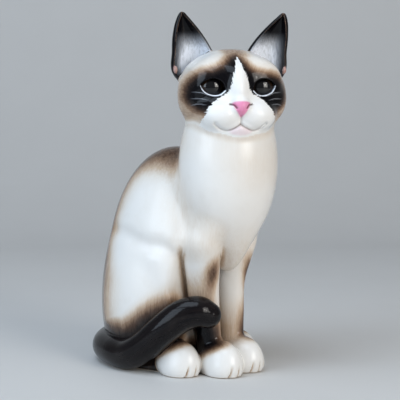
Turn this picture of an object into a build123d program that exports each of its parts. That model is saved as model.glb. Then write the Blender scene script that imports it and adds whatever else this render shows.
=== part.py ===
from build123d import *

import os
from math import cos, radians, sin

# Seated cat figurine in slip-cast, glazed ceramic, as the castings that are luted together before firing.
# Frame: millimetres, +Z up. The cat sits facing -Y and turns its head towards its own right, -X.
# The origin is the centre of the foot ring, on the plane that the figurine rests on.

# ---- Driving dimensions ----
WALL = 4.0  # thickness of the slip-cast wall
BLOCK = 400.0  # side of the blocks that trim solids, larger than the whole figurine

# Body forms, each an ellipsoid: centre, then half-sizes along X, Y and Z.
BACK = ((0, -3, 60), (36, 48, 72))
RUMP = ((0, 13, 30), (34, 35, 58))
BELLY_CUT = ((0, -66, 34), (70, 42, 56))  # scooped out of the back and rump, behind the forelegs
LAP = ((0, 0, 2), (33.5, 42.5, 16))  # the low part between the paws
CHEST = ((0, -43, 117), (28, 27.5, 60))
NECK = ((0, -46.5, 128), (25.8, 25.8, 48))
THIGH = ((24, 0, 38), (16, 30, 38))  # the left one; the right one is its mirror image
NECK_TOP_Z = 149.0  # where the head casting begins

# Underside: the ring that it stands on, and the pocket that takes the base disc.
RING_WIDTH = 5.0
FOOTPRINT = (32, 41)  # half-sizes of the foot ring's outer edge
DISC_THICKNESS = 3.5
DISC_RECESS = 1.5  # the disc sits this far above the resting plane
VENT_RADIUS = 5.0

# Head, in its own frame: x is the cat's left, -y is where it looks, z is up.
HEAD_CENTRE = (0, -47, 166)
HEAD_TURN = -38.0  # degrees about Z
CRANIUM = ((0, 2, 2), (30.5, 27, 22.5))
CHEEK = ((13, -4, -6), (18.5, 18, 17))
MUZZLE = ((0, -20, -15), (15.5, 13.5, 9.5))
NOSE_BRIDGE = ((0, -22, -4), (6.5, 12, 11.5))
CHIN = ((0, -20.5, -22), (9, 9, 6))
NAPE = ((0, 4, -9), (29, 27, 19))
HEAD_HOLLOW = ((0, 2, 3), (26, 22.5, 18))
NECK_PASSAGE_RADIUS = 16.0

# Eyes, in the head's frame: glass domes cut from balls.
EYE_CENTRE = (14.2, -14.0, 0.5)
EYE_RADIUS = 9.0
EYE_BACK_Y = -17.0  # the flat back of the dome

# Ears, in the head's frame. Each section is (x, y, z), then half-width and half-depth.
EAR_SECTIONS = (
    ((17, 7, 0), 8.5, 5.5),
    ((20.5, 7, 8), 13.5, 8.0),
    ((22.5, 6.5, 22), 12.0, 6.5),
    ((25.5, 6, 33), 8.6, 4.6),
    ((28.5, 5.5, 40.5), 4.6, 2.8),
    ((30.2, 5.2, 45.6), 1.3, 1.1),
)
EAR_WALL = 2.2
EAR_CUP_FORWARD = 4.0  # how far the hollow of the cup stands forward of the ear

# Forelegs: the left one. Each section is (x, y, z), then half-width and half-length.
FORELEG_SECTIONS = (
    ((9.0, -42, 0), 7.0, 9.0),
    ((9.8, -38.5, 16), 6.6, 8.6),
    ((10.8, -36, 34), 7.2, 10.2),
    ((11.8, -35.2, 54), 8.0, 11.0),
    ((14.2, -34.6, 66), 8.8, 11.6),
    ((17.0, -35.0, 78), 9.4, 12.4),
    ((17.2, -37.5, 92), 7.2, 10.4),
)
FRONT_PAW = ((8.6, -47.5, 7.5), (9.8, 14, 12.5))
HIND_PAW = ((25.5, -28, 7.5), (10, 15, 12.5))
TOES = 4
TOE_SIZE = (2.9, 5.0, 6.0)
TOE_PROUD = 0.8  # how far the toes stand out of the paw
TOE_DROP = 2.0  # toe centres below the paw's centre
TOE_ARC = 96.0  # degrees that the row of toes covers, seen from above

# Tail: the line down its middle, from the root at the back, then the radius at each point.
TAIL = (
    ((10, 39.0, 10.5), 7.0),
    ((-2, 42.5, 9.5), 8.6),
    ((-14, 42.5, 9.2), 9.2),
    ((-27.5, 31, 9.2), 9.2),
    ((-35.5, 15, 9.2), 9.2),
    ((-38.5, 0, 10.0), 9.3),
    ((-38.5, -13, 16.5), 9.3),
    ((-36, -25.5, 27.5), 9.0),
    ((-31, -35.5, 36.5), 8.4),
    ((-25, -43.5, 40.5), 7.8),
    ((-19.5, -49, 40.5), 7.0),
)


def ellipsoid(centre, half_sizes, inset=0.0):
    """An ellipsoid at a centre, with its surface moved inwards by inset."""
    sizes = tuple(size - inset for size in half_sizes)
    return Pos(*centre) * scale(Sphere(1), by=sizes)


def mirrored(form):
    """The same centre and half-sizes on the cat's right side."""
    (x, y, z), sizes = form
    return (-x, y, z), sizes


def above(height):
    """Everything above a height, as a block."""
    return Pos(0, 0, height + BLOCK / 2) * Box(BLOCK, BLOCK, BLOCK)


def above_ground(solid):
    """Trims a solid at the resting plane."""
    return solid & above(0)


def on_side(side):
    """Everything on one side of the cat's middle plane, as a block; side is 1 for its left."""
    return Pos(side * BLOCK / 2, 0, 0) * Box(BLOCK, BLOCK, BLOCK)


def placed_on_head(solid):
    """Moves a solid from the head's own frame to where the head is."""
    return Pos(*HEAD_CENTRE) * Rot(0, 0, HEAD_TURN) * solid


def lofted(sections):
    """A smooth solid through level ellipses, each a centre with a half-width and half-depth."""
    outlines = [Pos(*centre) * Ellipse(width, depth) for centre, width, depth in sections]
    return loft(outlines)


def body_form(inset=0.0):
    """Back, rump, lap, chest and neck as one solid, its surface moved inwards by inset."""
    back = ellipsoid(*BACK, inset) + ellipsoid(*RUMP, inset) - ellipsoid(*BELLY_CUT, -inset)
    front = ellipsoid(*CHEST, inset) + ellipsoid(*NECK, inset)
    return back + ellipsoid(*LAP, inset) + (front - above(NECK_TOP_Z))


def torso_outside():
    """The outer surface of the torso casting, thighs included, as a solid block."""
    return above_ground(body_form() + ellipsoid(*THIGH) + ellipsoid(*mirrored(THIGH)))


def base_pocket(depth):
    """The opening inside the foot ring, up to a height."""
    opening = Ellipse(FOOTPRINT[0] - RING_WIDTH, FOOTPRINT[1] - RING_WIDTH)
    return extrude(opening, depth)


def torso_shell(outside):
    """The hollow body casting, open at the neck and at the foot ring."""
    hollow = body_form(WALL) & above(DISC_RECESS + DISC_THICKNESS)
    return outside - base_pocket(DISC_RECESS + DISC_THICKNESS) - hollow


def base_disc():
    """The slab that closes the underside, with its firing vent in the middle."""
    slab = Pos(0, 0, DISC_RECESS) * base_pocket(DISC_THICKNESS)
    return slab - Cylinder(VENT_RADIUS, BLOCK)


def head_outside():
    """The head's outer surface, without ears, as a solid block in the head's frame."""
    forms = [CRANIUM, NAPE, CHEEK, mirrored(CHEEK), MUZZLE, NOSE_BRIDGE, CHIN]
    head = ellipsoid(*forms[0])
    for form in forms[1:]:
        head = head + ellipsoid(*form)
    return head


def eye(side):
    """A glass dome with a flat back, in the head's frame; side is 1 for the left eye."""
    x, y, z = EYE_CENTRE
    ball = Pos(side * x, y, z) * Sphere(EYE_RADIUS)
    behind = Pos(0, EYE_BACK_Y + BLOCK / 2, 0) * Box(BLOCK, BLOCK, BLOCK)
    return ball - behind


def ear(side):
    """A thin cup, open to the front, in the head's frame; side is 1 for the left ear."""
    outer = [((side * x, y, z), width, depth) for (x, y, z), width, depth in EAR_SECTIONS]
    hollow = [
        ((x, y - EAR_CUP_FORWARD, z), width - EAR_WALL, depth + EAR_CUP_FORWARD - EAR_WALL)
        for (x, y, z), width, depth in outer[1:-1]
    ]
    return lofted(outer) - lofted(hollow)


def toes(form):
    """The row of toe balls across the front of a paw."""
    (x, y, z), (half_width, half_length, _) = form
    balls = []
    for i in range(TOES):
        angle = TOE_ARC * (i / (TOES - 1) - 0.5)
        reach = half_length - TOE_SIZE[1] + TOE_PROUD
        spread = half_width - TOE_SIZE[0]
        place = (x + spread * sin(radians(angle)), y - reach * cos(radians(angle)), z - TOE_DROP)
        balls.append(ellipsoid(place, TOE_SIZE))
    return balls


def paw(form):
    """A rounded paw with its toes."""
    solid = ellipsoid(*form)
    for ball in toes(form):
        solid = solid + ball
    return solid


def foreleg(side):
    """A foreleg casting with its paw; side is 1 for the left leg."""
    sections = [((side * x, y, z), width, depth) for (x, y, z), width, depth in FORELEG_SECTIONS]
    form = FRONT_PAW if side > 0 else mirrored(FRONT_PAW)
    return above_ground(lofted(sections) + paw(form)) & on_side(side)


def hind_paw(side):
    """A hind paw; side is 1 for the left one."""
    return above_ground(paw(HIND_PAW if side > 0 else mirrored(HIND_PAW)))


def tail():
    """The tapering tail with round ends."""
    points = [Vector(*point) for point, _ in TAIL]
    outlines = []
    for i, (_, radius) in enumerate(TAIL):
        along = points[min(i + 1, len(points) - 1)] - points[max(i - 1, 0)]
        across = Vector(0, 0, 1).cross(along)
        outlines.append(Plane(points[i], x_dir=across, z_dir=along) * Circle(radius))
    body = loft(outlines)
    for (point, radius) in (TAIL[0], TAIL[-1]):
        body = body + Pos(*point) * Sphere(radius)
    return above_ground(body)


def main():
    os.makedirs("parts", exist_ok=True)
    outside = torso_outside()
    made = {"torso_shell": torso_shell(outside), "base_disc": base_disc()}

    head_block = placed_on_head(head_outside())
    hollow = placed_on_head(ellipsoid(*HEAD_HOLLOW))
    passage = Pos(0, NECK[0][1], NECK_TOP_Z) * Cylinder(NECK_PASSAGE_RADIUS, 2 * WALL)
    head = head_block - hollow - passage - outside
    for name, side in (("left", 1), ("right", -1)):
        dome = placed_on_head(eye(side))
        head = head - dome
        made[name + "_eye"] = dome
        made[name + "_ear"] = placed_on_head(ear(side)) - head_block
        leg = foreleg(side) - outside
        paw_solid = hind_paw(side) - outside - leg
        made[name + "_foreleg"] = leg
        made[name + "_hind_paw"] = paw_solid
    made["head_shell"] = head
    made["tail"] = tail() - outside - made["right_hind_paw"] - made["right_foreleg"]

    for name, shape in made.items():
        solids = sorted(shape.solids(), key=lambda solid: solid.volume)
        print(name, [round(s.volume, 1) for s in solids], all(s.is_valid for s in solids))
        export_step(solids[-1], f"parts/{name}.step")


if __name__ == "__main__":
    main()
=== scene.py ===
import math

import bpy
import numpy as np
import openvdb
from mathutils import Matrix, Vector


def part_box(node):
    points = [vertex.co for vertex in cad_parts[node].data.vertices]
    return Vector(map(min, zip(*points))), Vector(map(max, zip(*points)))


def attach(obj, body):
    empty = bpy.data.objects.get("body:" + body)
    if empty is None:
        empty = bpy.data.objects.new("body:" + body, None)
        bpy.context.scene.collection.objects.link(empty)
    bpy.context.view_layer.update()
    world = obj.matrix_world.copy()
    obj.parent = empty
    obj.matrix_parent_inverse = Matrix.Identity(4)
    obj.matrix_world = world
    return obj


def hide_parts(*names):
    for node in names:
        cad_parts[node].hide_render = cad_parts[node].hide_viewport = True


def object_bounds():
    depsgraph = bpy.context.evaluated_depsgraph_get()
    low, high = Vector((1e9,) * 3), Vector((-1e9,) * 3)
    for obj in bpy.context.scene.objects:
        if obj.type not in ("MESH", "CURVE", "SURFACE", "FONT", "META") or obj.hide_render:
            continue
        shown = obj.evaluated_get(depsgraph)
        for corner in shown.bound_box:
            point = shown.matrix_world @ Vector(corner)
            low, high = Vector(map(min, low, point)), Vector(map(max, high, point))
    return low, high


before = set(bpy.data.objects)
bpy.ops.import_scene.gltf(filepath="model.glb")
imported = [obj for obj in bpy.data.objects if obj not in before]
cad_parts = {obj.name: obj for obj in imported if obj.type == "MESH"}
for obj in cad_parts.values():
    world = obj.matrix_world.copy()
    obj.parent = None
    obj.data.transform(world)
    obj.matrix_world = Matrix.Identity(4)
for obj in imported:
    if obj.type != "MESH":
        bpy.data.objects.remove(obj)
CAD_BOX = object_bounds()

# The figurine is modelled as one body of clay. Every piece is a distance field in millimetres, negative
# inside, and the pieces are luted together with a small fillet. The skin is meshed once and then taken
# apart into its pieces, so the glaze runs over the seams without a break. The frame is the CAD model's:
# +Z up, the cat sits facing -Y, its left is +X, and the origin is the centre of the foot ring.

MM = 0.001
VOXEL = 0.76
SIDES = {"left": 1, "right": -1}


# ---- Places taken from the CAD frame, in millimetres ----
def box(node):
    """(lowest corner, highest corner) of a CAD node in millimetres."""
    low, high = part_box(node)
    return np.array(low) / MM, np.array(high) / MM


def middle(node):
    """Centre of a CAD node's box in millimetres."""
    low, high = box(node)
    return (low + high) / 2


EYE_SPAN = middle("left_eye") - middle("right_eye")
HEAD_X = EYE_SPAN / np.linalg.norm(EYE_SPAN)  # the head's own axes: x to the cat's left, y backwards
HEAD_Y = np.array((-HEAD_X[1], HEAD_X[0], 0.0))
EYE_X = np.linalg.norm(EYE_SPAN) / 2
EYE_BASE_RADIUS = np.ptp(box("left_eye"), axis=0)[2] / 2
DOME_RISE = 6.0  # how far a glass eye stands proud of its flat back
EYE_RADIUS = (EYE_BASE_RADIUS**2 + DOME_RISE**2) / (2 * DOME_RISE)
EYE_BACK_Y = -17.0  # the flat back of the eyes, in the head's frame
EYE_Z = 0.5  # height of the middle of the eyes, in the head's frame
HEAD_LIFT = 1.4  # the modelled head stands this much higher on its neck than the plain casting
HEAD_CENTRE = (middle("left_eye") + middle("right_eye")) / 2 - HEAD_Y * (EYE_BACK_Y - 3.0)
HEAD_CENTRE = HEAD_CENTRE + (0, 0, HEAD_LIFT - EYE_Z)
EYE_BALL_Y = EYE_BACK_Y - DOME_RISE + EYE_RADIUS
EAR_HEIGHT = box("left_ear")[1][2] - HEAD_CENTRE[2]
DISC_LOW, DISC_HIGH = box("base_disc")


def to_head(p):
    """Row-frame points in the head's own frame."""
    q = p - HEAD_CENTRE
    return np.stack([q @ HEAD_X, q @ HEAD_Y, q[:, 2]], axis=1)


def from_head(p):
    """Head-frame points in the row frame."""
    p = np.atleast_2d(p)
    return HEAD_CENTRE + p[:, :1] * HEAD_X + p[:, 1:2] * HEAD_Y + p[:, 2:] * (0, 0, 1)


# ---- Distance fields ----
def smooth_min(a, b, k):
    """Union of two fields with a fillet about k wide."""
    blend = np.maximum(k - np.abs(a - b), 0) / k
    return np.minimum(a, b) - blend * blend * k / 4


def smooth_max(a, b, k):
    """Intersection of two fields with an edge rounded by about k."""
    return -smooth_min(-a, -b, k)


def union(fields, k):
    """Union of several fields, each joined to those before it with a fillet about k wide."""
    total = fields[0]
    for field in fields[1:]:
        total = smooth_min(total, field, k)
    return total


def ellipsoid(p, centre, half):
    """About the distance to an ellipsoid, given its centre and half-sizes."""
    half = np.asarray(half, np.float32)
    q = (p - np.asarray(centre, np.float32)) / half
    near = np.sqrt((q * q).sum(axis=1))
    far = np.sqrt(((q / half) ** 2).sum(axis=1)) + 1e-6
    return near * (near - 1) / far


def both_sides(p):
    """The same points folded onto the cat's left side."""
    return np.stack([np.abs(p[:, 0]), p[:, 1], p[:, 2]], axis=1)


def smooth_table(values, keys, at):
    """Smooth curve through the values at rising keys, level beyond the ends."""
    slopes = np.gradient(values, keys)
    i = np.clip(np.searchsorted(keys, at) - 1, 0, len(keys) - 2)
    span = keys[i + 1] - keys[i]
    t = np.clip((at - keys[i]) / span, 0, 1)
    start = (1 + 2 * t) * (1 - t) ** 2 * values[i] + t * (1 - t) ** 2 * span * slopes[i]
    end = t * t * (3 - 2 * t) * values[i + 1] + t * t * (t - 1) * span * slopes[i + 1]
    return start + end


def upright(p, sections, cap=2.0):
    """Solid through level ellipses, each (x, y, z), half-width and half-depth, with rounded ends."""
    rows = np.array([(x, y, z, width, depth) for (x, y, z), width, depth in sections])
    keys = rows[:, 2]
    x, y, width, depth = (smooth_table(rows[:, i], keys, p[:, 2]) for i in (0, 1, 3, 4))
    q = np.stack([(p[:, 0] - x) / width, (p[:, 1] - y) / depth], axis=1)
    near = np.sqrt((q * q).sum(axis=1))
    far = np.sqrt((q[:, 0] / width) ** 2 + (q[:, 1] / depth) ** 2) + 1e-6
    wall = near * (near - 1) / far
    return smooth_max(smooth_max(wall, p[:, 2] - keys[-1], cap), keys[0] - p[:, 2], cap)


def spline(points, steps):
    """Points along a smooth curve through the given ones, with anything else they carry."""
    rows = np.array(points, float)
    keys = np.arange(len(rows))
    at = np.linspace(0, len(rows) - 1, steps)
    return np.stack([smooth_table(rows[:, i], keys, at) for i in range(rows.shape[1])], axis=1)


def tube(p, points, steps=60):
    """Tapering tube along a smooth curve through (x, y, z, radius) points."""
    rows = spline(points, steps).astype(np.float32)
    best = np.full(len(p), 1e3, np.float32)
    for a, b in zip(rows[:-1], rows[1:]):
        along = b[:3] - a[:3]
        t = np.clip(((p - a[:3]) @ along) / (along @ along), 0, 1)
        offset = p - a[:3] - t[:, None] * along
        gap = np.sqrt((offset * offset).sum(axis=1)) - (a[3] + t * (b[3] - a[3]))
        best = np.minimum(best, gap)
    return best


def to_line(x, z, points, steps=24):
    """Distance in a plane from a smooth open line, and the place along it from 0 to 1."""
    rows = spline(points, steps)
    best = np.full(len(x), 1e3)
    place = np.zeros(len(x))
    for i, (a, b) in enumerate(zip(rows[:-1], rows[1:])):
        along = b - a
        t = np.clip(((x - a[0]) * along[0] + (z - a[1]) * along[1]) / (along @ along), 0, 1)
        gap = np.hypot(x - a[0] - t * along[0], z - a[1] - t * along[1])
        place = np.where(gap < best, (i + t) / (steps - 1), place)
        best = np.minimum(best, gap)
    return best, place


def to_outline(x, z, points, steps=48):
    """Signed distance in a plane from a smooth closed outline, negative inside."""
    rows = spline([*points, points[0]], steps)
    gap, _ = to_line(x, z, rows, len(rows))
    inside = np.zeros(len(x), bool)
    for a, b in zip(rows[:-1], rows[1:]):
        crosses = (a[1] > z) != (b[1] > z)
        reach = a[0] + (z - a[1]) / np.where(b[1] == a[1], 1e-9, b[1] - a[1]) * (b[0] - a[0])
        inside ^= crosses & (x < reach)
    return np.where(inside, -gap, gap)


def ramp(value, start, end):
    """Smooth step from 0 at start to 1 at end; start may be the larger."""
    t = np.clip((value - start) / (end - start), 0, 1)
    return t * t * (3 - 2 * t)


# ---- Body ----
# Ellipsoids are (centre, half-sizes).
BACK = ((0, -3, 60), (36, 48, 73))
RUMP = ((0, 12, 32), (35.5, 36, 56))
LAP = ((0, 0, 2), (33.5, 42.5, 16))
CHEST = ((0, -43, 119), (28.3, 27.5, 47))
PROW = ((0, -43.0, 91), (8.5, 17.5, 31))  # the narrow breast that comes down between the forelegs
NECK = ((0, -47.3, 128), (25.4, 25.4, 46))
THIGH = ((23.5, 4.5, 39), (16.5, 28, 41))
BELLY_CUT = ((0, -67, 40), (70, 44, 66))
# The fold over the thigh, as (y, z) points.
HAUNCH = ((22, 82), (6, 80), (-10, 76), (-22, 74.5), (-28.5, 66), (-28, 50))
HAUNCH_WIDTH = 5.0
HAUNCH_DEPTH = 1.9
BACK_FILLET = 12
CUT_FILLET = 5
THIGH_FILLET = 3
COLUMN_FILLET = 9  # between the chest, the neck and the breast
BODY_FILLET = 7.5  # between the back and that column
CUT_EDGE = 0.6  # how far the edges of the disc's pocket and of the hollow over it are rounded
HOLLOW = ((0, 0, DISC_HIGH[2]), (20, 26, 12))  # what shows through the firing vent


def masses(p):
    """The two big forms of the body: the back with its haunches, and the column of chest and neck."""
    q = both_sides(p)
    back = smooth_min(ellipsoid(p, *BACK), ellipsoid(p, *RUMP), BACK_FILLET)
    back = smooth_max(back, -ellipsoid(p, *BELLY_CUT), CUT_FILLET)
    back = union([back, ellipsoid(q, *THIGH), ellipsoid(p, *LAP)], THIGH_FILLET)
    front = union([ellipsoid(p, *CHEST), ellipsoid(p, *NECK), ellipsoid(p, *PROW)], COLUMN_FILLET)
    fold = to_line(p[:, 1], p[:, 2], HAUNCH)[0]
    back = engrave(back, fold, HAUNCH_WIDTH, HAUNCH_DEPTH * ramp(q[:, 0], 12, 24))
    return back, front


def torso(p):
    """The body, hollowed for the base disc and where its firing vent looks in."""
    body = smooth_min(*masses(p), BODY_FILLET)
    ring = (DISC_HIGH - DISC_LOW)[:2] / 2
    pocket = (np.hypot(p[:, 0] / ring[0], p[:, 1] / ring[1]) - 1) * ring[0]
    pocket = np.maximum(pocket, p[:, 2] - DISC_HIGH[2])
    return smooth_max(smooth_max(body, -pocket, CUT_EDGE), -ellipsoid(p, *HOLLOW), CUT_EDGE)


# ---- Head, in its own frame ----
CRANIUM = ((0, 2, 2), (30.2, 27, 21.2))
NAPE = ((0, 2, -7), (26, 22, 16))
CHEEK = ((14, -5, -7), (17.0, 17, 16))
BROW = ((11, -14, 7), (13, 9.5, 9))
BRIDGE = ((0, -20, -3), (6.5, 11.8, 15))
PUFF = ((8.6, -20.7, -15.4), (13.2, 12.5, 10))
NOSE = ((0, -30.7, -10.5), (5.0, 4.6, 4.8))
CHIN = ((0, -21.5, -22.6), (10, 9.4, 5.8))
LID = 1.0  # thickness of the eyelids over the glass
# Lines on the left half of the face: (across, up), the eye's from its middle and the others from the head's.
EYE_OPENING = ((-6.2, -1.4), (-4.7, 2.4), (-1.2, 4.5), (3.0, 4.3),
               (7.1, 1.2), (4.9, -2.7), (0.9, -4.5), (-3.3, -4.1))
MOUTH = ((0, -20.4), (3.6, -22.7), (7.5, -24.0), (11.2, -22.9), (14.4, -20.2))
PHILTRUM = ((0, -15.8), (0, -18), (0, -20.8))
NOSTRIL = ((2.9, -11.4), (4.2, -9.8), (6.2, -9.4))
# Each groove is a line, the steps it is drawn in, and the groove's width and depth.
GROOVES = ((MOUTH, 24, 0.9, 1.1), (PHILTRUM, 6, 0.7, 0.6), (NOSTRIL, 8, 0.6, 0.9))
SKULL_FILLET = 6
CHEEK_FILLET = 8
LID_FILLET = 4
MUZZLE_FILLET = 6
NOSE_FILLET = 2.5
LID_EDGE = 0.8  # how far the edge of an eyelid is rounded


def eye_place(q):
    """Distance across and up from the middle of the nearer eye; across grows outwards."""
    return np.abs(q[:, 0]) - EYE_X, q[:, 2] - EYE_Z


def engrave(field, gap, width, depth):
    """Presses a soft groove into a field along a line, given the distance from it."""
    return field + depth * np.exp(-((gap / width) ** 2))


def head(p):
    """The head with its eyelids, muzzle, nose and mouth."""
    q = to_head(p)
    r = both_sides(q)
    skull = union([ellipsoid(q, *CRANIUM), ellipsoid(q, *NAPE)], SKULL_FILLET)
    skull = union([skull, ellipsoid(r, *CHEEK), ellipsoid(r, *BROW)], CHEEK_FILLET)
    ball = np.sqrt((r[:, 0] - EYE_X) ** 2 + (q[:, 1] - EYE_BALL_Y) ** 2 + (q[:, 2] - EYE_Z) ** 2)
    skull = smooth_min(skull, ball - (EYE_RADIUS + LID), LID_FILLET)
    muzzle = union([ellipsoid(r, *PUFF), ellipsoid(q, *BRIDGE)], MUZZLE_FILLET)
    skull = smooth_min(skull, muzzle, MUZZLE_FILLET)
    skull = union([skull, ellipsoid(q, *NOSE), ellipsoid(q, *CHIN)], NOSE_FILLET)
    front = ramp(q[:, 1], -8, -14)
    for line, steps, width, depth in GROOVES:
        skull = engrave(skull, to_line(r[:, 0], q[:, 2], line, steps)[0], width, depth * front)
    across, up = eye_place(q)
    opening = to_outline(across, up, EYE_OPENING)
    opening = np.maximum(opening, q[:, 1] - EYE_BACK_Y)
    return smooth_max(skull, -opening, LID_EDGE)


# ---- Ears, in the head's frame: the left one ----
EAR_SECTIONS = (
    ((17, 7, 0), 8.5, 5.5),
    ((19.6, 7, 8), 13.4, 8.0),
    ((22.3, 6.5, 22), 12.0, 6.5),
    ((25.6, 5.0, EAR_HEIGHT - 12), 8.6, 4.6),
    ((28.2, 3.6, EAR_HEIGHT - 5), 4.9, 3.0),
    ((29.3, 2.9, EAR_HEIGHT - 1.6), 2.6, 1.9),
    ((29.7, 2.6, EAR_HEIGHT + 0.6), 0.9, 0.8),
)
EAR_LEAN = {1: 2.0, -1: -1.2}  # how far the left and right tips lean outwards; each was set one by one
EAR_WALL = 1.9
EAR_CAP = 1.5  # how far the tip and the root are rounded
EAR_RIM = 0.9  # and the rim of the hollow
EAR_CUP_FORWARD = 4.5  # how far the hollow is moved forwards, which opens the ear to the front
EAR_CUP_FLOOR = 7.0  # height of the bottom of the hollow
EAR_FOLD = ((32.4, 2.5, 11.0), (1.1, 1.5, 2.0))  # the small pocket of skin on the ear's outer edge
EAR_FOLD_FILLET = 1.2


def to_ear(p, side):
    """Points in the head's frame, folded onto the left ear and with that ear's lean taken out."""
    q = to_head(p)
    q[:, 0] = q[:, 0] * side - EAR_LEAN[side] * (np.clip(q[:, 2], 0, None) / EAR_HEIGHT) ** 2
    return q


def ear_form(q):
    """The ear before it is hollowed."""
    return upright(q, EAR_SECTIONS, EAR_CAP)


def ear_cup(q):
    """The hollow of the ear, which reaches out in front of it."""
    hollow = [
        ((x, y - EAR_CUP_FORWARD, z), max(width - EAR_WALL, 0.3), depth + EAR_CUP_FORWARD - EAR_WALL)
        for (x, y, z), width, depth in EAR_SECTIONS
    ]
    return upright(q, hollow, 0.5)


def ear(p, side):
    """An ear: a thin cup, open to the front, with the pocket on its outer edge."""
    q = to_ear(p, side)
    cup = np.maximum(ear_cup(q), EAR_CUP_FLOOR - q[:, 2])
    cupped = smooth_max(ear_form(q), -cup, EAR_RIM)
    return smooth_min(cupped, ellipsoid(q, *EAR_FOLD), EAR_FOLD_FILLET)


# ---- Legs, paws and tail ----
# Sections are (x, y, z), half-width and half-depth; the tail's points are x, y, z and radius.
FORELEG = (
    ((9.0, -42, -4), 7.0, 9.0),
    ((9.8, -38.5, 16), 6.6, 8.6),
    ((10.8, -36, 34), 7.2, 10.2),
    ((11.8, -35.2, 54), 8.0, 11.0),
    ((14.0, -36.2, 66), 8.8, 12.6),
    ((16.4, -37.0, 77), 9.6, 14.0),
    ((15.4, -39.6, 88), 8.0, 12.4),
    ((14.0, -39.5, 98), 6.5, 9.0),
)
FRONT_PAW = ((9.4, -47.5, 7.5), (10.4, 14.2, 12.8))
HIND_PAW = ((25.5, -28, 7.5), (10.4, 15, 12.8))
PAW_FILLET = 3
LEG_EDGE = 0.5  # how far the edge where the two forelegs meet is rounded
TOE_LINES = (-4.4, 0.0, 4.4)  # grooves between the toes, across from the middle of a paw
TOE_GROOVE = 0.6  # their width
TOE_DEPTH = 1.2
TAIL = (
    (12, 36.0, 10.5, 7.0),
    (-2, 42.5, 9.5, 8.6),
    (-14, 42.5, 9.2, 9.2),
    (-27.5, 31, 9.2, 9.2),
    (-35.5, 15, 9.2, 9.2),
    (-38.5, 0, 10.0, 9.3),
    (-38.5, -13, 16.5, 9.3),
    (-36, -25.5, 27.0, 9.5),
    (-31, -35.5, 35.8, 9.5),
    (-25, -43.5, 38.8, 9.2),
    (-20.5, -47.5, 36.8, 7.8),
)


def toe_gap(local, toe, reach):
    """Distance sideways from the groove between two toes, which spread a little forwards."""
    return local[:, 0] - toe - 0.05 * toe * (local[:, 1] + reach)


def paw(p, form):
    """A rounded paw with grooves between its toes."""
    centre, half = form
    local = p - np.array(centre)
    body = ellipsoid(p, centre, half)
    toes = ((centre[0], centre[1] - 3, centre[2] - 3), (half[0] + 0.3, 11, 9))
    body = smooth_min(body, ellipsoid(p, *toes), PAW_FILLET)
    front = ramp(local[:, 1], -5, -9) * ramp(local[:, 2], 1, -4)
    for toe in TOE_LINES:
        body = engrave(body, toe_gap(local, toe, half[1]), TOE_GROOVE, TOE_DEPTH * front)
    return body


def foreleg(p, side):
    """A foreleg and its paw, kept to its own side of the middle."""
    q = p * (side, 1, 1)
    field = smooth_min(upright(q, FORELEG), paw(q, FRONT_PAW), PAW_FILLET)
    return smooth_max(field, -q[:, 0], LEG_EDGE)


def hind_paw(p, side):
    """A hind paw, where it shows beside the front one."""
    return paw(p * (side, 1, 1), HIND_PAW)


def tail(p):
    """The tail, from the back round the cat's right side."""
    return tube(p, TAIL)


def along_tail(p):
    """Each point's place beside, above and along the middle line of the tail."""
    rows = spline(TAIL, 60)[:, :3].astype(np.float32)
    steps = np.diff(rows, axis=0)
    lengths = np.linalg.norm(steps, axis=1)
    travelled = np.concatenate([[0], np.cumsum(lengths)])
    best = np.full(len(p), 1e3, np.float32)
    place = np.zeros((len(p), 3), np.float32)
    for i, (start, step, length) in enumerate(zip(rows, steps, lengths)):
        t = np.clip((p - start) @ step / length**2, 0, 1)
        offset = p - start - t[:, None] * step
        gap = np.linalg.norm(offset, axis=1)
        beside = (offset[:, 0] * step[1] - offset[:, 1] * step[0]) / np.hypot(step[0], step[1])
        here = np.stack([beside, offset[:, 2], travelled[i] + t * length], axis=1)
        nearer = gap < best
        place[nearer] = here[nearer]
        best = np.minimum(best, gap)
    return place


# ---- One body of clay ----
PIECES = {"torso_shell": torso, "head_shell": head, "tail": tail}
for name, side in SIDES.items():
    PIECES[name + "_ear"] = lambda p, side=side: ear(p, side)
    PIECES[name + "_foreleg"] = lambda p, side=side: foreleg(p, side)
    PIECES[name + "_hind_paw"] = lambda p, side=side: hind_paw(p, side)
FILLETS = {"head_shell": 4.5, "ear": 2.0, "foreleg": 1.6, "hind_paw": 1.2, "tail": 0.8}
SHOULDER = (62, 86)  # heights between which a foreleg's fillet widens
SHOULDER_FILLET = 4  # how much wider it gets
FLOOR_EDGE = 0.8  # how far the edge that stands on the floor is rounded


def fillet(name, height):
    """Width of the fillet that a piece is luted on with; a foreleg's grows into the shoulder."""
    width = next(width for ending, width in FILLETS.items() if name.endswith(ending))
    return width + SHOULDER_FILLET * ramp(height, *SHOULDER) if name.endswith("foreleg") else width


BOXES = {name: box(name) for name in PIECES}
NEARBY = 12.0  # beyond this distance from its box, a piece's field is only the distance to the box


def in_pieces(p):
    """Every piece's own distance at these points."""
    fields = {}
    for name, make in PIECES.items():
        low, high = BOXES[name]
        gap = np.maximum(low - p, p - high).max(axis=1).astype(np.float32)
        near = gap < NEARBY
        if near.any():
            gap[near] = make(p[near])
        fields[name] = gap
    return fields


def figure(p):
    """The whole figurine's field at these points."""
    p = np.asarray(p, np.float32)
    fields = in_pieces(p)
    total = fields.pop("torso_shell")
    for name, field in fields.items():
        total = smooth_min(total, field, fillet(name, p[:, 2]))
    return smooth_max(total, -p[:, 2], FLOOR_EDGE)


def in_parts(function, p, size=400000):
    """A function of many points, worked out a part at a time to save memory."""
    return np.concatenate([function(p[i:i + size]) for i in range(0, len(p), size)])


MARGIN = 4  # room round the CAD box for the grid that the skin is taken from
GRID_STEPS = (4, 2, 1)  # voxels to each grid point, from the coarsest grid to the finest


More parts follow.
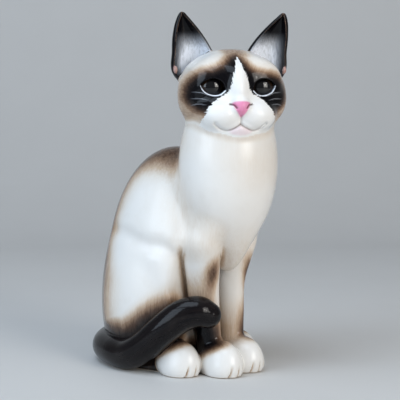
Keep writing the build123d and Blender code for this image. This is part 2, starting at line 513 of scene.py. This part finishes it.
def skin():
    """Points and quads of the whole figurine's surface, refined from a coarse grid to a fine one."""
    low = np.array(CAD_BOX[0]) / MM - MARGIN
    counts = (np.ptp(np.array(CAD_BOX) / MM, axis=0) + 2 * MARGIN) / VOXEL
    counts = np.ceil(counts / GRID_STEPS[0]).astype(int) * GRID_STEPS[0]
    field = None
    for step in GRID_STEPS:
        shape = counts // step
        if field is None:
            wanted = np.ones(shape, bool)
            field = np.zeros(shape, np.float32)
        else:
            reach = 2 * step * VOXEL * math.sqrt(3)
            for axis in range(3):
                field = np.repeat(field, 2, axis=axis)
            wanted = np.abs(field) < reach
        place = np.argwhere(wanted)
        field[wanted] = in_parts(figure, low + place * step * VOXEL)
    grid = openvdb.FloatGrid(2 * VOXEL)
    grid.copyFromArray(np.clip(field, -2 * VOXEL, 2 * VOXEL))
    points, quads = grid.convertToQuads(isovalue=0.0)
    return low + points * VOXEL, quads.astype(np.int64)


def slope(p, step=0.15):
    """Unit outward direction of the figurine's field at these points."""
    parts = []
    for axis in range(3):
        shift = np.zeros(3)
        shift[axis] = step
        parts.append(in_parts(figure, p + shift) - in_parts(figure, p - shift))
    normal = np.stack(parts, axis=1)
    return normal / (np.linalg.norm(normal, axis=1, keepdims=True) + 1e-9)


def settle(p, rounds=2):
    """Moves points onto the surface."""
    for _ in range(rounds):
        normal = slope(p, 0.3)
        p = p - normal * np.clip(in_parts(figure, p), -0.5, 0.5)[:, None]
    return p


# ---- Paint: how much colour is sprayed where, painted shade included, worked out at every point of the skin ----
BLAZE = ((0, 17.4), (1.4, 14.4), (2.7, 9.8), (3.9, 6.0), (4.8, 2.0), (6.2, -1.8), (9.3, -4.4), (13.3, -7.0),
         (17.0, -10.4), (19.6, -14.6), (21.2, -19), (22.0, -26))
MASK = ((0, 19.5), (5, 17), (9, 13), (14, 10.5), (20, 9), (26, 5.5),
        (30, -1), (29, -8), (23, -13.5), (14, -16), (0, -16))
LIT_LEFT_MASK = ((0, 19.5), (3, 15.5), (7, 10.5), (14, 8), (20, 7.5), (26, 5), *MASK[6:])  # its brow is paler: the reflection of the light on it is painted in
NOSE_PAD = ((0, -7.6), (3.0, -7.8), (5.0, -8.8), (3.9, -11.4), (1.6, -14.9), (0, -16.4))
LOWER_LIP = ((0, -21.3), (3.0, -22.7), (6.8, -24.4), (4.0, -26.0), (0, -26.6))
LOWER_LID = ((7.2, 0.6), (5.2, -2.9), (0.9, -4.8), (-3.4, -4.4), (-6.1, -2.3))
WHISKERS = (((16, -5.0), (21, -2.8), (26.5, -2.4)), ((16.5, -7.2), (22, -6.0), (27, -6.2)),
            ((18, -9.6), (23, -9.2), (27, -10)))
STRIPE_MIDDLE = (-6, 60)  # (y, z) that the stripe on the back is measured round
ELBOW = (14.8, -46, 62.5)  # middle of the dark patch on each foreleg
LEG_MIDDLE = np.array((9.8, 10.8, 11.8, 14.5))  # a foreleg's middle line, across
LEG_HEIGHTS = np.array((16, 34, 56, 78))  # at these heights
NOWHERE = 40.0  # distance from the blaze that is given to everything off the front of the head
DARK = 0.95  # density of the nearly black paint
STROKE = 0.16  # a hair stroke's width as a share of its length
FACE_MIDDLE = -9  # height in the head's frame of the point that the strokes on the face spread from
FACE_RADIUS = 24  # where strokes on the face are as wide as on the body
BARE_RING = 0.5  # the foot ring is wiped clean of glaze up to this height


def folded(points):
    """An outline on the left half of the face together with its mirror image, as one closed outline."""
    return [*points, *((-x, z) for x, z in reversed(points[1:-1]))]


def spot(gap, width):
    """1 on a line or point, and falling off smoothly over about width beside it."""
    return np.exp(-((gap / width) ** 2))


def nape_paint(p):
    """Density down the back of the head and neck; it follows the turn of the head."""
    turn = np.arctan2(HEAD_X[1], HEAD_X[0]) * ramp(p[:, 2], 112, 148)
    x, y = p[:, 0] - HEAD_CENTRE[0], p[:, 1] - HEAD_CENTRE[1]
    aside = np.abs(x * np.cos(turn) + y * np.sin(turn))
    backwards = y * np.cos(turn) - x * np.sin(turn)
    around = np.degrees(np.arctan2(aside, backwards))
    return 0.5 * ramp(around, 74, 10) * ramp(p[:, 2] - HEAD_CENTRE[2], 26, 12)


def face_paint(p):
    """Sprayed density, distance outside the crisp white blaze, pink and pale strokes on the head."""
    q = to_head(p)
    x, y, z = np.abs(q[:, 0]), q[:, 1], q[:, 2]
    front = ramp(y, 3, -6)
    # the cat's left brow carries a painted reflection: its mask stops lower there
    mask = np.where(q[:, 0] < 0, to_outline(x, z, folded(MASK)), to_outline(x, z, folded(LIT_LEFT_MASK)))
    density = ramp(y, 17, 3) * (0.9 * ramp(mask, 5, -5) + 0.1 * ramp(mask, 11, 2))
    jaw = 0.32 * ramp(z, 4, -8) * ramp(x, 10, 20) * ramp(y, 17, 3)
    density = np.maximum(density, jaw) * (0.3 + 0.7 * ramp(z, -23, -14))
    crown = 0.4 * ramp(x, 13, 2) * ramp(z, 14, 20)
    density = np.maximum(density, np.maximum(nape_paint(p), crown))
    mouth, along = to_line(x, z, MOUTH)
    density = np.maximum(density, front * (0.5 - 0.25 * along) * spot(mouth, 0.6))
    nostril = to_line(x, z, NOSTRIL, 8)[0]
    edge, _ = to_line(x, z, BLAZE, 40)
    rows = np.array(BLAZE)[::-1]
    inside = x < smooth_table(rows[:, 0], rows[:, 1], z)
    edge = np.where(inside & (z < BLAZE[0][1]), -edge, edge)
    edge = edge + NOWHERE * (1 - front)
    pad = to_outline(x, z, folded(NOSE_PAD))
    lip = to_outline(x, z, folded(LOWER_LIP))
    pink = front * np.maximum(ramp(pad, 0.7, -0.6), 0.20 * ramp(lip, 0.9, -0.6))
    line = front * np.maximum(0.9 * spot(nostril, 0.42), 0.7 * spot(mouth, 0.42) * ramp(along, 1.0, 0.5))
    across, up = eye_place(q)
    lid = to_line(across, up, LOWER_LID)[0]
    pale = front * ramp(lid, 0.45, 0.2)
    for stroke in WHISKERS:
        gap, place = to_line(x, z, stroke, 12)
        pale = np.maximum(pale, 0.22 * front * ramp(gap, 0.28, 0.12) * np.sin(np.pi * place))
    return density, edge, pink, line, pale


def ear_paint(p, side):
    """Sprayed density, pink and white fur in and around one ear."""
    q = to_ear(p, side)
    rows = np.array([(x, y, z, width, depth) for (x, y, z), width, depth in EAR_SECTIONS])
    middle_x, width = (smooth_table(rows[:, i], rows[:, 2], q[:, 2]) for i in (0, 3))
    across = (q[:, 0] - middle_x) / width
    cup = ear_cup(q)
    inside = ramp(cup, 1.3, 0.6)
    fluff = np.clip(2.2 * ramp(q[:, 2], 34, 12) * ramp(across, 0.85, 0.1) * ramp(across, -1.0, -0.7), 0, 1)
    edge = np.maximum(np.abs(cup), np.abs(ear_form(q)))
    rim = ramp(edge, 0.55, 0.3) * ramp(q[:, 2], 4, 14)
    fold = ramp(ellipsoid(q, *EAR_FOLD), 1.2, 0.2)
    density = (1 - 0.45 * rim) * (1 - 0.65 * fold)
    return density, 0.16 * fold, fluff * inside


def leg_paint(p, side):
    """Sprayed density on a foreleg: pale at the shoulder, dark at the ankle."""
    q = p * (side, 1, 1)
    fall = ramp(q[:, 2], 66, 23)
    outwards = q[:, 0] - smooth_table(LEG_MIDDLE, LEG_HEIGHTS, q[:, 2])
    outer = ramp(outwards, -0.5, 7)
    inner = ramp(outwards, 1, -5)
    behind = ramp(q[:, 1], -38, -28)
    patch = 0.62 * spot(np.linalg.norm((q - np.array(ELBOW)) * (1, 1, 0.36), axis=1), 4.3)
    ankle = (0.6 - 0.35 * inner) * fall**3 + 0.5 * fall**0.6 * np.maximum(outer, behind)
    return np.clip(ankle + patch, 0, 1)


def face_grain(p):
    """Coordinates in which the hair strokes on the face, which spread outwards, are round."""
    q = to_head(p)
    turn = np.arctan2(q[:, 0], q[:, 2] - FACE_MIDDLE)
    reach = np.hypot(q[:, 0], q[:, 2] - FACE_MIDDLE)
    return np.stack([turn * FACE_RADIUS, reach * STROKE, q[:, 1] * 0.3], axis=1)


def paw_paint(p, side, form, gap):
    """How far each point lies on a paw, in the white on its toes and in the grooves between them."""
    local = p * (side, 1, 1) - np.array(form[0])
    near = ramp(gap, 1.2, 0.2)
    top = local[:, 2] - 8.5 + 0.55 * (local[:, 1] + 2)
    grooves = np.maximum.reduce([spot(toe_gap(local, toe, form[1][1]), 0.32) for toe in TOE_LINES])
    grooves = near * grooves * ramp(local[:, 1], -6, -9) * ramp(local[:, 2], 0.5, -4)
    return near, near * ramp(top, 6.5, -4.5), grooves


def body_paint(p, fields, near_leg):
    """Sprayed density on the body, painted shade in its creases included: the darkest of its patches at each
    point.
    """
    across = np.abs(p[:, 0])
    behind, above = np.clip((p[:, 1:] - STRIPE_MIDDLE) / BACK[1][1:], 0, None).T
    round_back = np.degrees(np.arctan2(across / BACK[1][0], np.hypot(behind, above)))
    from_neck = np.hypot(p[:, 0], p[:, 1] - NECK[0][1])
    high = ramp(p[:, 2], 88, 122)
    half_stripe = 85 - 25 * ramp(p[:, 2], 48, 84) - 14 * high
    haunch, column = masses(p)
    return np.maximum.reduce([
        # the stripe down the back, and the nape above it
        (0.95 - 0.35 * high) * ramp(round_back, half_stripe, 18) * ramp(from_neck, 24, 36),
        nape_paint(p) * ramp(p[:, 2], 118, 136) * ramp(from_neck, 36, 27),
        # painted shade under the jaw, and a tan band in the valley between the chest and the haunches that
        # also paints the shade there
        0.15 * ramp(fields["head_shell"], 8, 0),
        0.11 * spot(haunch - column, 13) * ramp(p[:, 2], 62, 84),
        # beside the tail; painted shade in the creases beside the forelegs and low on the breast between
        # them
        0.85 * ramp(fields["tail"], 17, 0) * ramp(p[:, 2], 62, 30),
        0.32 * ramp(near_leg, 6, 0.5) * ramp(p[:, 2], 84, 70),
        0.12 * ramp(p[:, 2], 96, 70) * ramp(p[:, 1], -30, -45),
        # low down in front
        0.9 * ramp(p[:, 2], 24, 12) * ramp(p[:, 1], 10, -18),
    ])


def paint(p):
    """Everything the glaze needs to know at each point of the skin."""
    p = np.asarray(p, np.float32)
    fields = in_pieces(p)
    body, skull = fields["torso_shell"], fields["head_shell"]
    near_leg = np.minimum(fields["left_foreleg"], fields["right_foreleg"])
    density = ramp(body, 1.6, 0.2) * body_paint(p, fields, near_leg)

    face, edge, pink, line, pale = face_paint(p)
    on_head = ramp(skull, 1.8, 0.3)
    density = np.maximum(density * (1 - on_head), on_head * face)
    edge = np.where(skull < 1.5, edge, NOWHERE)
    pink, line, pale = (on_head * value for value in (pink, line, pale))

    # painted shade: a faint tan round the tops of the forelegs, where they meet the chest
    shoulder = 0.10 * ramp(near_leg, 12, 2) * ramp(p[:, 2], 58, 74) * ramp(p[:, 2], 112, 92)
    paw_white = np.zeros(len(p))
    toes = np.zeros(len(p))
    for name, side in SIDES.items():
        cup, tinge, fur = ear_paint(p, side)
        on_ear = ramp(fields[name + "_ear"], 0.9, 0.1)
        density = density * (1 - on_ear) + cup * on_ear
        pink = np.maximum(pink, tinge * on_ear)
        pale = pale * (1 - on_ear) + fur * on_ear
        on_leg = ramp(fields[name + "_foreleg"], 1.2, 0.1)
        density = density * (1 - on_leg) + leg_paint(p, side) * on_leg
        # painted shade: darker on each foreleg low down, where it tucks in against the body
        seam = 0.3 * on_leg * ramp(body, 4, 0.5) * ramp(p[:, 2], 80, 68)
        density = np.maximum.reduce([density, seam, shoulder])
        for form, node in ((FRONT_PAW, "_foreleg"), (HIND_PAW, "_hind_paw")):
            near, white, grooves = paw_paint(p, side, form, fields[name + node])
            paw_white = np.maximum(paw_white, white)
            toes = np.maximum(toes, grooves)
            if node == "_hind_paw":
                density = density * (1 - near) + DARK * near
    density = np.maximum(density * (1 - paw_white), 0.36 * toes)

    on_tail = ramp(fields["tail"], 0.8, 0.1)
    density = density * (1 - on_tail) + DARK * on_tail
    grain = np.where((on_head > 0.5)[:, None], face_grain(p), p * (1, 1, STROKE))
    grain = np.where((on_tail > 0.5)[:, None], along_tail(p) * (1, 1, 0.1), grain)
    return {
        "spray_and_shade": density,
        "edge": edge,
        "pink": pink,
        "line": line,
        "pale": pale,
        "bare": ramp(p[:, 2], BARE_RING + 0.3, BARE_RING),
        "grain": grain,
    }


# ---- Meshes ----
def divided(points, quads):
    """Each quad cut into four. Returns points, quads and which points lie on the open border."""
    edges = np.stack([quads, np.roll(quads, -1, axis=1)], axis=2).reshape(-1, 2)
    ends, place, uses = np.unique(np.sort(edges, axis=1), axis=0, return_inverse=True, return_counts=True)
    count = len(points)
    halfway = (count + place.reshape(-1, 4)).astype(np.int64)
    centre = count + len(ends) + np.arange(len(quads))
    every = np.concatenate([points, points[ends].mean(axis=1), points[quads].mean(axis=1)])
    parts = [
        np.stack([quads[:, i], halfway[:, i], centre, halfway[:, i - 1]], axis=1) for i in range(4)
    ]
    border = np.zeros(len(every), bool)
    border[count + np.flatnonzero(uses == 1)] = True
    border[ends[uses == 1].ravel()] = True
    return every, np.concatenate(parts), border


def caps(points, quads):
    """Closes a piece where it was luted on: a point inside the clay, and triangles from it to the seam."""
    edges = np.stack([quads, np.roll(quads, -1, axis=1)], axis=2).reshape(-1, 2)
    known = set(map(tuple, edges.tolist()))
    onward = {}
    for a, b in known:
        if (b, a) not in known:
            onward.setdefault(a, []).append(b)
    centres, triangles = [], []
    while onward:
        start = next(iter(onward))
        loop = [start]
        while loop[-1] in onward:
            choices = onward[loop[-1]]
            follow = choices.pop()
            if not choices:
                del onward[loop[-1]]
            loop.append(follow)
        centre = len(points) + len(centres)
        centres.append(points[loop[:-1]].mean(axis=0))
        triangles += [(b, a, centre) for a, b in zip(loop[:-1], loop[1:])]
    return np.array(centres).reshape(-1, 3), triangles


def mesh_piece(name, points, faces, normals, paints, material):
    """A mesh object, in metres, that rides on the root body."""
    mesh = bpy.data.meshes.new(name)
    mesh.from_pydata((points * MM).tolist(), [], faces)
    for key, values in paints.items():
        kind = "FLOAT_VECTOR" if values.ndim == 2 else "FLOAT"
        layer = mesh.attributes.new(key, kind, "POINT")
        layer.data.foreach_set("vector" if values.ndim == 2 else "value", values.astype(np.float32).ravel())
    mesh.shade_smooth()
    if normals is not None:
        mesh.normals_split_custom_set_from_vertices(normals.tolist())
    piece = bpy.data.objects.new(name, mesh)
    bpy.context.scene.collection.objects.link(piece)
    mesh.materials.append(material)
    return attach(piece, "root")


FINE = ("head_shell", "left_ear", "right_ear")  # pieces with detail smaller than the grid


def cast_pieces(material):
    """The skin, taken apart into one closed mesh for each piece of clay."""
    points, quads = skin()
    names = list(PIECES)
    fields = in_pieces(points[quads].mean(axis=1).astype(np.float32))
    owner = np.argmin([fields[name] for name in names], axis=0)
    for i, name in enumerate(names):
        used, faces = np.unique(quads[owner == i], return_inverse=True)
        faces = faces.reshape(-1, 4)
        own = points[used]
        if name in FINE:
            own, faces, border = divided(own, faces)
            own[~border] = settle(own[~border])
        normals = slope(own)
        paints = paint(own)
        centres, triangles = caps(own, faces)
        extra = len(centres)
        own = np.concatenate([own, centres])
        normals = np.concatenate([normals, np.tile((0.0, 0.0, 1.0), (extra, 1))])
        paints = {
            key: np.concatenate([value, np.zeros((extra,) + value.shape[1:])])
            for key, value in paints.items()
        }
        piece = mesh_piece(name + "_glazed", own, faces.tolist() + triangles, normals, paints, material)
        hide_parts(name)


# ---- Materials ----
class Nodes:
    """Short spelling for the node trees below."""

    def __init__(self, name):
        self.material = bpy.data.materials.new(name)
        self.material.use_nodes = True
        self.tree = self.material.node_tree
        self.shader = self.tree.nodes["Principled BSDF"]

    def add(self, kind, *inputs, **settings):
        node = self.tree.nodes.new("ShaderNode" + kind)
        for key, value in settings.items():
            setattr(node, key, value)
        for i, value in enumerate(inputs):
            self.put(node.inputs[i], value)
        return node

    def put(self, socket, value):
        if isinstance(value, bpy.types.NodeSocket):
            self.tree.links.new(value, socket)
        elif value is not None:
            socket.default_value = value

    def maths(self, operation, *inputs, clamp=False):
        return self.add("Math", *inputs, operation=operation, use_clamp=clamp).outputs[0]

    def stored(self, name, output="Fac"):
        return self.add("Attribute", attribute_name=name).outputs[output]

    def noise(self, vector, size, detail=3.0, rough=0.5):
        """Noise from 0 to 1 with features about size across, in the vector's own units."""
        node = self.add("TexNoise")
        self.put(node.inputs["Vector"], vector)
        self.put(node.inputs["Scale"], 1 / size)
        self.put(node.inputs["Detail"], detail)
        self.put(node.inputs["Roughness"], rough)
        return node.outputs["Fac"]

    def step(self, value, start, end):
        node = self.add("MapRange", interpolation_type="SMOOTHSTEP")
        self.put(node.inputs["Value"], value)
        self.put(node.inputs["From Min"], start)
        self.put(node.inputs["From Max"], end)
        return node.outputs["Result"]

    def mix(self, share, low, high):
        node = self.add("Mix", data_type="RGBA")
        for socket, value in zip((node.inputs[0], node.inputs[6], node.inputs[7]), (share, low, high)):
            self.put(socket, value)
        return node.outputs[2]

    def colours(self, value, stops):
        node = self.add("ValToRGB", value)
        elements = node.color_ramp.elements
        elements.remove(elements[1])
        elements[0].position = stops[0][0]
        elements[0].color = (*stops[0][1], 1)
        for place, colour in stops[1:]:
            elements.new(place).color = (*colour, 1)
        return node.outputs["Color"]

    def set(self, **values):
        for name, value in values.items():
            self.put(self.shader.inputs[name.replace("_", " ")], value)

    def bump(self, height, distance, strength=1.0, normal=None):
        node = self.add("Bump")
        self.put(node.inputs["Height"], height)
        self.put(node.inputs["Distance"], distance)
        self.put(node.inputs["Strength"], strength)
        self.put(node.inputs["Normal"], normal)
        return node.outputs["Normal"]


# Colours are linear. SPRAY runs from bare white to the densest black.
SPRAY = (
    (0.0, (0.80, 0.78, 0.75)),
    (0.10, (0.74, 0.68, 0.61)),
    (0.24, (0.54, 0.41, 0.30)),
    (0.42, (0.27, 0.170, 0.108)),
    (0.62, (0.085, 0.047, 0.03)),
    (0.82, (0.016, 0.011, 0.010)),
    (1.0, (0.003, 0.0028, 0.004)),
)
WHITE = (0.82, 0.81, 0.79, 1)
PINK = (0.76, 0.26, 0.44, 1)
CLAY = (0.62, 0.53, 0.43, 1)
SHADE = (0.62, 0.55, 0.47, 1)  # the faint cloudiness of the white glaze
LINE = (0.10, 0.045, 0.035, 1)
# the pale fur in the ears; its blue tint is painted sky light
SKY_TINTED_FUR = (0.84, 0.88, 0.96, 1)
IRIS = ((0.3, (0.010, 0.006, 0.004)), (0.6, (0.024, 0.013, 0.007)), (0.8, (0.045, 0.024, 0.013)))
PUPIL = (0.004, 0.004, 0.005, 1)
EYE_RIM = (0.008, 0.006, 0.006, 1)
DISC_DARK = (0.60, 0.51, 0.41, 1)
DISC_LIGHT = (0.70, 0.62, 0.52, 1)
GROG = (0.36, 0.27, 0.19, 1)
FLOOR_DARK = (0.60, 0.59, 0.575, 1)
FLOOR_LIGHT = (0.63, 0.62, 0.605, 1)
ROOM = (0.82, 0.85, 0.90, 1)
ROOM_STRENGTH = 0.25


def glaze():
    """Off-white glaze sprayed with tan, brown and black, painted shade among them, with the colours that its
    skin stores.
    """
    n = Nodes("glaze")
    place = n.add("TexCoord").outputs["Object"]
    grain = n.stored("grain", "Vector")
    streak = n.noise(grain, 0.9, 4.0, 0.6)
    swing = n.maths("SUBTRACT", streak, 0.5)
    broad = n.maths("SUBTRACT", n.noise(grain, 3.5, 3.0), 0.5)
    density = n.stored("spray_and_shade")
    half_way = n.maths("MULTIPLY", density, n.maths("SUBTRACT", 1.15, density))
    wander = n.maths("ADD", n.maths("MULTIPLY", swing, 0.9), n.maths("MULTIPLY", broad, 0.6))
    density = n.maths("MULTIPLY_ADD", half_way, wander, density, clamp=True)
    cloud = n.noise(place, 9 * MM, 3.0)
    base = n.colours(density, SPRAY)
    tone = n.maths("MULTIPLY", n.step(cloud, 0.45, 0.75), n.maths("MULTIPLY_ADD", density, -0.10, 0.10))
    base = n.mix(tone, base, SHADE)
    teeth = n.maths("ADD", n.maths("MULTIPLY", swing, 4.2), n.maths("MULTIPLY", broad, 1.2))
    blaze = n.step(n.maths("ADD", n.stored("edge"), teeth), 0.30, -0.10)
    base = n.mix(blaze, base, WHITE)
    pink = n.maths("MULTIPLY", n.stored("pink"), n.maths("MULTIPLY_ADD", swing, 1.2, 1.0), clamp=True)
    base = n.mix(pink, base, PINK)
    base = n.mix(n.stored("line"), base, LINE)
    # pale fur in the ears, with painted sky light in its blue tint
    fur = n.maths("MULTIPLY", n.stored("pale"), n.maths("MULTIPLY_ADD", swing, 1.6, 1.0), clamp=True)
    base = n.mix(fur, base, SKY_TINTED_FUR)
    bare = n.stored("bare")
    base = n.mix(bare, base, CLAY)
    speck = n.noise(place, 0.45 * MM, 2.0)
    pooled = n.noise(place, 14 * MM, 2.0)
    height = n.maths("MULTIPLY_ADD", pooled, 6.0, n.maths("MULTIPLY", speck, 0.06))
    glazed = n.maths("SUBTRACT", 1.0, bare)
    n.set(
        Base_Color=base,
        Roughness=n.maths("MULTIPLY_ADD", bare, 0.5, n.maths("MULTIPLY_ADD", speck, 0.06, 0.20)),
        Normal=n.bump(height, 0.05 * MM, 0.6),
        Coat_Weight=n.maths("MULTIPLY", glazed, n.maths("MULTIPLY_ADD", density, -0.6, 1.0)),
        Coat_Roughness=n.maths("MULTIPLY_ADD", density, -0.16, 0.23),
    )
    n.shader.inputs["Specular IOR Level"].default_value = 0.05
    n.shader.inputs["Coat IOR"].default_value = 1.38
    return n.material


def eye_glass():
    """Dark brown iris and a large black pupil under a polished dome, from the distance to its middle."""
    n = Nodes("eye_glass")
    out = n.stored("out")
    turn = n.stored("fibre", "Vector")
    fibre = n.noise(turn, 0.55, 4.0, 0.7)
    iris = n.colours(fibre, IRIS)
    edge = n.maths("MULTIPLY_ADD", fibre, 0.5, out)
    colour = n.mix(n.step(edge, 4.4, 5.2), PUPIL, iris)
    colour = n.mix(n.step(out, 6.0, 7.0), colour, EYE_RIM)
    haze = n.noise(n.add("TexCoord").outputs["Object"], 3 * MM, 2.0)
    n.set(Base_Color=colour, Roughness=n.maths("MULTIPLY_ADD", haze, 0.04, 0.02), Coat_Weight=1.0)
    n.shader.inputs["Specular IOR Level"].default_value = 0.0
    n.shader.inputs["Coat Roughness"].default_value = 0.01
    n.shader.inputs["Coat IOR"].default_value = 1.5
    return n.material


def bare_clay():
    """Unglazed fired clay with fine grog and sponge marks."""
    n = Nodes("bare_clay")
    place = n.add("TexCoord").outputs["Object"]
    grog = n.noise(place, 0.6 * MM, 4.0, 0.7)
    cloud = n.noise(place, 12 * MM, 3.0)
    colour = n.mix(n.step(cloud, 0.3, 0.7), DISC_DARK, DISC_LIGHT)
    colour = n.mix(n.step(grog, 0.62, 0.72), colour, GROG)
    n.set(
        Base_Color=colour,
        Roughness=n.maths("MULTIPLY_ADD", grog, 0.2, 0.72),
        Normal=n.bump(grog, 0.12 * MM, 0.8),
    )
    return n.material


# ---- Eyes ----
def glass_eye(name, side, material):
    """A dome with a rounded edge and a flat back, as rings round its middle."""
    rings = 26
    around = 72
    steepest = math.acos((EYE_RADIUS - DOME_RISE) / EYE_RADIUS)
    profile = [(EYE_RADIUS * math.sin(a), EYE_BALL_Y - EYE_RADIUS * math.cos(a))
               for a in np.linspace(0.02, steepest, rings)]
    profile += [(EYE_BASE_RADIUS - 0.35, EYE_BACK_Y), (EYE_BASE_RADIUS * 0.5, EYE_BACK_Y)]
    turns = np.linspace(0, 2 * np.pi, around, endpoint=False)
    rows = [(r * math.cos(t), y, r * math.sin(t)) for r, y in profile for t in turns]
    rows += [(0, EYE_BALL_Y - EYE_RADIUS, 0), (0, EYE_BACK_Y, 0)]
    local = np.array(rows)
    faces = []
    for i in range(len(profile) - 1):
        for j in range(around):
            k = (j + 1) % around
            faces.append((i * around + j, i * around + k, (i + 1) * around + k, (i + 1) * around + j))
    front, back = len(rows) - 2, len(rows) - 1
    last = (len(profile) - 1) * around
    for j in range(around):
        k = (j + 1) % around
        faces.append((front, k, j))
        faces.append((back, last + j, last + k))
    out = np.hypot(local[:, 0], local[:, 2])
    turn = np.arctan2(local[:, 2], local[:, 0])
    fibre = np.stack([np.cos(turn) * 5, np.sin(turn) * 5, out * 0.3], axis=1)
    points = from_head(local + (side * EYE_X, 0, EYE_Z))
    piece = mesh_piece(name + "_dome", points, faces, None, {"out": out, "fibre": fibre}, material)
    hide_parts(name)


cast_pieces(glaze())
glass = eye_glass()
for name, side in SIDES.items():
    glass_eye(name + "_eye", side, glass)
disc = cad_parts["base_disc"]
disc.data.materials.clear()
disc.data.materials.append(bare_clay())


# ---- Floor, light and camera ----
def pale_floor():
    n = Nodes("floor")
    cloud = n.noise(n.add("TexCoord").outputs["Object"], 0.08, 3.0)
    n.set(Base_Color=n.mix(cloud, FLOOR_DARK, FLOOR_LIGHT), Roughness=0.6)
    return n.material


def floor():
    """A floor that curves up into a backdrop behind the figurine."""
    width, front, back, bend, rise = 3.0, -2.0, 1.1, 0.5, 2.4
    line = [(front, 0.0), (back - bend, 0.0)]
    line += [(back - bend + bend * math.sin(a), bend - bend * math.cos(a))
             for a in np.linspace(0.1, math.pi / 2, 12)]
    line.append((back, rise))
    rows = [seen_from_camera(side * width, along, up) for along, up in line for side in (-1, 1)]
    faces = [(2 * i, 2 * i + 1, 2 * i + 3, 2 * i + 2) for i in range(len(line) - 1)]
    mesh = bpy.data.meshes.new("floor")
    mesh.from_pydata([tuple(row) for row in rows], [], faces)
    mesh.shade_smooth()
    mesh.materials.append(pale_floor())
    plane = bpy.data.objects.new("floor", mesh)
    bpy.context.scene.collection.objects.link(plane)


def softbox(name, place, aim, size, power, colour):
    lamp = bpy.data.lights.new(name, "AREA")
    lamp.shape = "RECTANGLE"
    lamp.size, lamp.size_y = size
    lamp.energy = power
    lamp.color = colour
    light = bpy.data.objects.new(name, lamp)
    light.location = place
    light.rotation_mode = "QUATERNION"
    light.rotation_quaternion = (Vector(aim) - Vector(place)).to_track_quat("-Z", "Y")
    bpy.context.scene.collection.objects.link(light)


VIEW = math.radians(47)  # the camera stands in front, this far round towards the cat's right
CAMERA_PLACE = Vector((-0.5017, -0.4899, 0.154))
CAMERA_TILT = math.radians(4.42)
CAMERA_FIELD = math.radians(19.86)


def camera():
    data = bpy.data.cameras.new("camera")
    data.sensor_width = 36
    data.angle = CAMERA_FIELD
    data.clip_start = 0.05
    eye = bpy.data.objects.new("camera", data)
    eye.location = CAMERA_PLACE
    eye.rotation_euler = (math.pi / 2 - CAMERA_TILT, 0, -VIEW)
    bpy.context.scene.collection.objects.link(eye)
    bpy.context.scene.camera = eye


def seen_from_camera(right, forward, up):
    """A place given by steps to the camera's right, away from it and up, from the figurine's foot."""
    away = Vector((math.sin(VIEW), math.cos(VIEW), 0))
    across = Vector((away.y, -away.x, 0))
    return across * right + away * forward + Vector((0, 0, up))


LAMPS = (  # name, steps from the figurine's foot, size, watts and colour
    ("window_left", (-0.95, -0.7, 0.6), (0.75, 0.95), 8.8, (0.71, 0.85, 1.0)),
    ("window_right", (0.8, -0.9, 0.5), (0.6, 0.7), 7.8, (1.0, 0.97, 0.92)),
    ("spark", (0.75, -0.95, 0.5), (0.12, 0.12), 0.8, (1.0, 0.97, 0.92)),
    ("sky", (-0.35, -0.45, 1.25), (1.0, 0.7), 8.5, (0.72, 0.85, 1.0)),
)


def lights():
    aim = seen_from_camera(0, 0, 0.1)
    for name, place, size, power, colour in LAMPS:
        softbox(name, seen_from_camera(*place), aim, size, power, colour)
    world = bpy.data.worlds.new("room")
    world.use_nodes = True
    world.node_tree.nodes["Background"].inputs["Color"].default_value = ROOM
    world.node_tree.nodes["Background"].inputs["Strength"].default_value = ROOM_STRENGTH
    bpy.context.scene.world = world


floor()
camera()
lights()
bpy.context.scene.view_settings.view_transform = "Standard"
